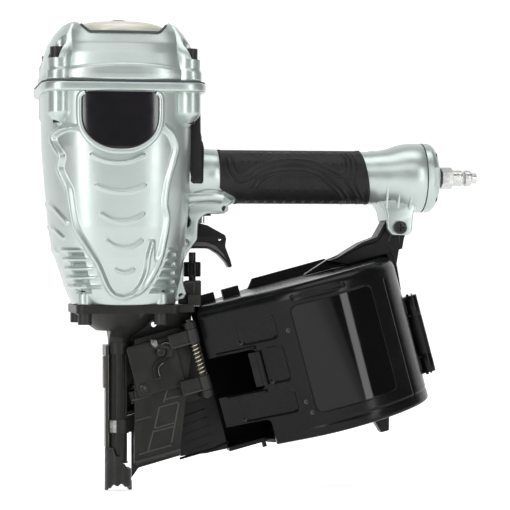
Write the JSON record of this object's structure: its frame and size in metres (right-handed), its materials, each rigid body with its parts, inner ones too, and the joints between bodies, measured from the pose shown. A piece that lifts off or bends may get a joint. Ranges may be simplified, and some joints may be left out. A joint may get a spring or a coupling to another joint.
{
  "type": "pneumatic coil nailer",
  "caption": "Air-driven framing nailer with a barrel head, rubber grip, trigger, contact foot and a tilted drum magazine that opens at the side.",
  "frame": {"origin": "centre of the contact foot's work face, on the driver axis", "axes": "+Z along the driver axis towards the head, +X along the handle towards the air plug, -Y towards the side of the magazine door"},
  "size_m": [0.3299, 0.1301, 0.3433],
  "materials": {
    "painted_silver": "semi-gloss paint",
    "badge": "gloss",
    "cream_zinc": "satin",
    "black_rubber": "matt, moulded pattern",
    "gasket": "matt",
    "black_plastic": "gloss",
    "window_plastic": "smoked, high gloss",
    "black_steel": "black oxide",
    "bright_steel": "machined",
    "plated_steel": "plated",
    "yellow_zinc": "zinc plated",
    "nylon": "matt",
    "bumper_rubber": "matt",
    "seal": "matt",
    "dark_casting": "black, semi-gloss"
  },
  "bodies": {
    "tool": {"body_housing": "painted_silver", "head_gasket": "gasket", "head_cap": "painted_silver", "cap_bolts": "black_steel", "deflector_screw": "black_steel", "badge": "badge", "rubber_pad": "black_rubber", "handle_grip": "black_rubber", "end_cap": "painted_silver", "end_cap_gasket": "gasket", "end_cap_screws": "black_steel", "air_plug": "plated_steel", "plug_seal": "seal", "cylinder_sleeve": "bright_steel", "sleeve_seal": "seal", "piston_bumper": "bumper_rubber", "head_valve_spring": "bright_steel", "head_cushion": "bumper_rubber", "trigger_valve_body": "black_steel", "valve_spring": "bright_steel", "trigger_pin": "bright_steel", "trigger_spring": "bright_steel", "nose_body": "dark_casting", "nose_bolts": "black_steel", "lever_spring": "bright_steel", "feed_cylinder": "dark_casting", "feed_spring": "bright_steel", "guide_hinge_pin": "black_steel", "guide_hinge_spring": "yellow_zinc", "magazine_body": "black_plastic", "bracket_bolt": "black_steel", "bracket_nut": "black_steel", "magazine_hinge_pin": "bright_steel", "tray_post": "black_plastic"},
    "deflector": {"exhaust_deflector": "cream_zinc"},
    "head_valve": {"head_valve": "nylon"},
    "driver": {"piston": "bright_steel", "piston_ring": "bumper_rubber", "driver_blade": "bright_steel"},
    "plunger": {"valve_plunger": "bright_steel"},
    "trigger": {"trigger": "black_plastic", "trigger_arm_pin": "bright_steel"},
    "arm": {"trigger_arm": "bright_steel"},
    "contact_lever": {"contact_foot": "black_steel", "push_lever": "black_steel"},
    "dial": {"adjuster_dial": "black_plastic"},
    "feeder": {"feed_piston": "bright_steel", "pawl_pin": "bright_steel"},
    "pawl": {"feed_pawl": "black_steel"},
    "guide_door": {"nail_guide_door": "dark_casting", "guide_door_screws": "black_steel", "latch_screw": "black_steel"},
    "latch": {"door_latch": "black_steel"},
    "coil_door": {"magazine_door": "black_plastic", "magazine_window": "window_plastic"},
    "coil_latch": {"magazine_latch": "black_plastic"},
    "tray": {"nail_tray": "black_plastic"}
  },
  "joints": [
    {"name": "deflector_turn", "type": "hinge", "parent": "tool", "child": "deflector", "pos_m": [0, 0, 0.336], "axis": [0, 0, 1], "continuous": true},
    {"name": "head_valve_slide", "type": "slide", "parent": "tool", "child": "head_valve", "axis": [0, 0, 1], "range_m": [0, 0.005], "stiffness_N_per_m": 2000, "deforming": ["head_valve_spring"]},
    {"name": "piston_slide", "type": "slide", "parent": "tool", "child": "driver", "axis": [0, 0, -1], "range_m": [0, 0.109]},
    {"name": "plunger_slide", "type": "slide", "parent": "tool", "child": "plunger", "axis": [0, 0, 1], "range_m": [0, 0.003], "stiffness_N_per_m": 800, "deforming": ["valve_spring"]},
    {"name": "trigger_pull", "type": "hinge", "parent": "tool", "child": "trigger", "pos_m": [0.0478, 0, 0.1811], "axis": [0, -1, 0], "range_deg": [0, 9], "stiffness_Nm_per_rad": 0.6},
    {"name": "arm_tilt", "type": "hinge", "parent": "trigger", "child": "arm", "pos_m": [0.074, 0, 0.1835], "axis": [0, 1, 0], "range_deg": [0, 12], "stiffness_Nm_per_rad": 0.05},
    {"name": "contact_push", "type": "slide", "parent": "tool", "child": "contact_lever", "axis": [0, 0, 1], "range_m": [0, 0.009], "stiffness_N_per_m": 1500, "deforming": ["lever_spring"]},
    {"name": "depth_dial_turn", "type": "hinge", "parent": "contact_lever", "child": "dial", "pos_m": [0.0546, 0, 0.1615], "axis": [0, 0, 1], "range_deg": [-170, 170]},
    {"name": "feed_slide", "type": "slide", "parent": "tool", "child": "feeder", "axis": [0.9659, 0, 0.2588], "range_m": [0, 0.007], "stiffness_N_per_m": 1200, "deforming": ["feed_spring"]},
    {"name": "pawl_swing", "type": "hinge", "parent": "feeder", "child": "pawl", "pos_m": [0.0168, 0.016, 0.06869], "axis": [-0.2588, 0, 0.9659], "range_deg": [-25, 0], "stiffness_Nm_per_rad": 0.05},
    {"name": "guide_door_swing", "type": "hinge", "parent": "tool", "child": "guide_door", "pos_m": [0.05709, -0.0165, 0.09605], "axis": [-0.2588, 0, 0.9659], "range_deg": [0, 100]},
    {"name": "door_latch_turn", "type": "hinge", "parent": "guide_door", "child": "latch", "pos_m": [0.02939, -0.0133, 0.10126], "axis": [0, -1, 0], "range_deg": [0, 30]},
    {"name": "coil_door_swing", "type": "hinge", "parent": "tool", "child": "coil_door", "pos_m": [0.22661, 0, 0.11248], "axis": [-0.2588, 0, 0.9659], "range_deg": [0, 110]},
    {"name": "coil_latch_turn", "type": "hinge", "parent": "coil_door", "child": "coil_latch", "pos_m": [0.09922, -0.04149, 0.09026], "axis": [-0.2588, 0, 0.9659], "range_deg": [0, 50]},
    {"name": "tray_height", "type": "slide", "parent": "tool", "child": "tray", "axis": [-0.2588, 0, 0.9659], "range_m": [0, 0.04]}
  ]
}
